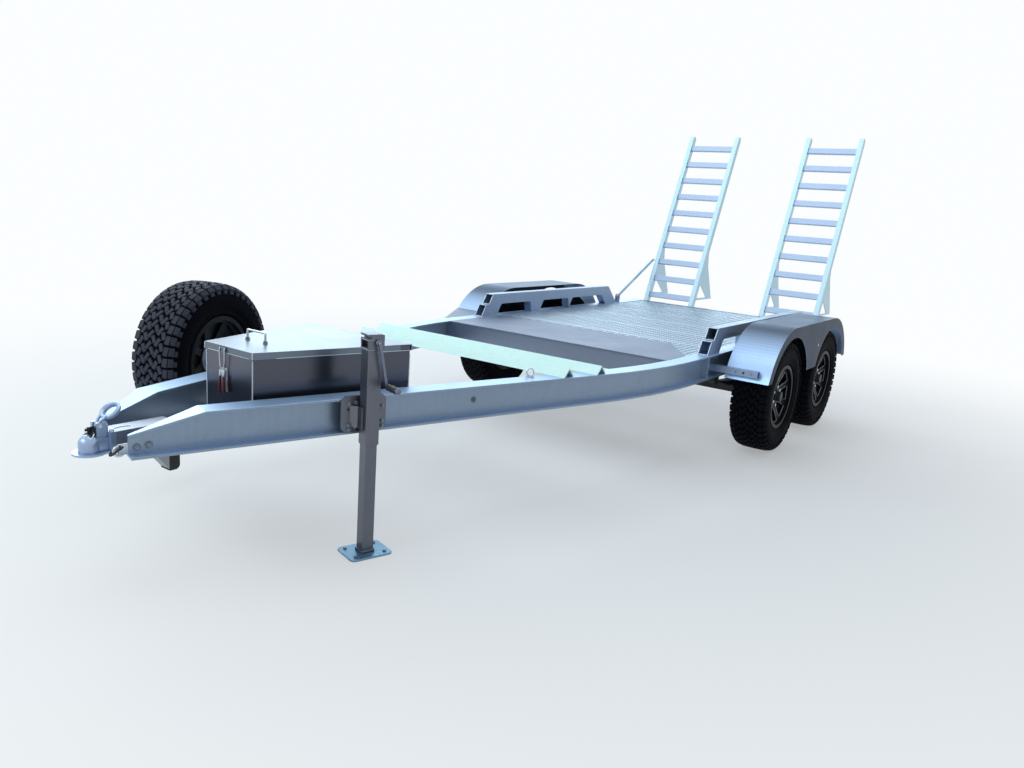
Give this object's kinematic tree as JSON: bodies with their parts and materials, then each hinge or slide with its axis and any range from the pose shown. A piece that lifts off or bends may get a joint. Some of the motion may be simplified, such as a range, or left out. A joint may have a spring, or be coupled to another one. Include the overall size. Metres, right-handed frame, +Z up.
{
  "type": "tandem-axle plant trailer",
  "caption": "Tandem-axle aluminium plant trailer with drawn-in beams, toolbox, wind-down jack, spare wheel, side rails and hinged ladder ramps standing at the rear.",
  "frame": {"origin": "on the ground below the middle of the whole trailer", "axes": "+X forward to the coupling, +Y to the trailer's left, +Z up"},
  "size_m": [6.6688, 2.5, 2.2803],
  "materials": {
    "extruded_aluminium": "mill finish, lightly brushed and dulled",
    "sheet_aluminium": "brushed sheet with folded edges",
    "mesh_steel": "expanded metal, galvanised",
    "ramp_aluminium": "mill finish with scuffed rungs",
    "galvanised_steel": "hot-dip galvanised, matt",
    "zinc_steel": "bright zinc plate",
    "dark_steel": "black paint, satin",
    "rubber_block": "moulded rubber",
    "tyre_rubber": "tyre rubber",
    "wheel_paint": "gloss black with machined spoke edges",
    "spare_rim_paint": "gloss black",
    "hub_steel": "dark grey paint"
  },
  "bodies": {
    "chassis": {"axles": "dark_steel", "bucket_angles": "extruded_aluminium", "coupling_mount": "extruded_aluminium", "cross_members": "extruded_aluminium", "deck_front_plate": "sheet_aluminium", "deck_mesh": "mesh_steel", "front_channel": "extruded_aluminium", "jack_gearhead": "dark_steel", "jack_mount": "galvanised_steel", "jack_tube": "zinc_steel", "lashing_ring": "galvanised_steel", "leaf_springs": "dark_steel", "left_main_beam": "extruded_aluminium", "left_mudguard": "sheet_aluminium", "left_side_rail": "extruded_aluminium", "mudguard_arms": "extruded_aluminium", "ramp_hinges": "galvanised_steel", "right_main_beam": "extruded_aluminium", "right_mudguard": "sheet_aluminium", "right_side_rail": "extruded_aluminium", "right_wing_plate": "sheet_aluminium", "safety_shackles": "galvanised_steel", "skid_block": "rubber_block", "skid_plate": "galvanised_steel", "spare_carrier": "galvanised_steel", "spare_rim": "spare_rim_paint", "spare_tyre": "tyre_rubber", "spring_hangers": "galvanised_steel", "spring_rockers": "dark_steel", "stay_lug": "galvanised_steel", "tail_member": "extruded_aluminium", "toolbox": "sheet_aluminium", "toolbox_latch": "zinc_steel", "toolbox_supports": "extruded_aluminium", "tow_coupling": "galvanised_steel"},
    "toolbox_lid": {"toolbox_lid": "sheet_aluminium", "lid_handle": "zinc_steel"},
    "jack_crank": {"jack_crank": "zinc_steel"},
    "jack_leg": {"jack_leg": "galvanised_steel", "jack_foot": "galvanised_steel"},
    "coupling_lever": {"coupling_lever": "zinc_steel"},
    "left_ramp": {"left_ramp": "ramp_aluminium", "left_ramp_legs": "ramp_aluminium"},
    "right_ramp": {"right_ramp": "ramp_aluminium", "right_ramp_legs": "ramp_aluminium"},
    "ramp_stay": {"ramp_stay": "galvanised_steel"},
    "front_left_wheel": {"front_left_tyre": "tyre_rubber", "front_left_rim": "wheel_paint", "front_left_hub": "hub_steel"},
    "front_right_wheel": {"front_right_tyre": "tyre_rubber", "front_right_rim": "wheel_paint", "front_right_hub": "hub_steel"},
    "rear_left_wheel": {"rear_left_tyre": "tyre_rubber", "rear_left_rim": "wheel_paint", "rear_left_hub": "hub_steel"},
    "rear_right_wheel": {"rear_right_tyre": "tyre_rubber", "rear_right_rim": "wheel_paint", "rear_right_hub": "hub_steel"}
  },
  "joints": [
    {"name": "front_left_wheel_spin", "type": "hinge", "parent": "chassis", "child": "front_left_wheel", "pos_m": [-0.59058, 1.1125, 0.368], "axis": [0, 1, 0], "continuous": true},
    {"name": "front_right_wheel_spin", "type": "hinge", "parent": "chassis", "child": "front_right_wheel", "pos_m": [-0.59058, -1.1125, 0.368], "axis": [0, 1, 0], "continuous": true},
    {"name": "rear_left_wheel_spin", "type": "hinge", "parent": "chassis", "child": "rear_left_wheel", "pos_m": [-1.53058, 1.1125, 0.368], "axis": [0, 1, 0], "continuous": true},
    {"name": "rear_right_wheel_spin", "type": "hinge", "parent": "chassis", "child": "rear_right_wheel", "pos_m": [-1.53058, -1.1125, 0.368], "axis": [0, 1, 0], "continuous": true},
    {"name": "left_ramp_hinge", "type": "hinge", "parent": "chassis", "child": "left_ramp", "pos_m": [-2.63658, 0.58, 0.622], "axis": [0, -1, 0], "range_deg": [0, 87]},
    {"name": "right_ramp_hinge", "type": "hinge", "parent": "chassis", "child": "right_ramp", "pos_m": [-2.63658, -0.58, 0.622], "axis": [0, -1, 0], "range_deg": [0, 87]},
    {"name": "ramp_stay_hinge", "type": "hinge", "parent": "chassis", "child": "ramp_stay", "pos_m": [-2.13058, -0.872, 0.705], "axis": [0, 1, 0], "range_deg": [0, 120]},
    {"name": "toolbox_lid_hinge", "type": "hinge", "parent": "chassis", "child": "toolbox_lid", "pos_m": [2.03442, 0, 0.7935], "axis": [0, -1, 0], "range_deg": [0, 95]},
    {"name": "jack_crank_turn", "type": "hinge", "parent": "chassis", "child": "jack_crank", "pos_m": [2.38474, 0.45898, 0.89], "axis": [0.2874, 0.9578, 0], "range_deg": [0, 15480]},
    {"name": "jack_leg_slide", "type": "slide", "parent": "chassis", "child": "jack_leg", "axis": [0, 0, 1], "range_m": [0, 0.26]},
    {"name": "coupling_lever_hinge", "type": "hinge", "parent": "chassis", "child": "coupling_lever", "pos_m": [3.24942, 0, 0.6025], "axis": [0, 1, 0], "range_deg": [0, 40]}
  ],
  "couplings": [
    {"joint": "jack_leg_slide", "follows": "jack_crank_turn", "m_per_rad": 0.00096233}
  ]
}
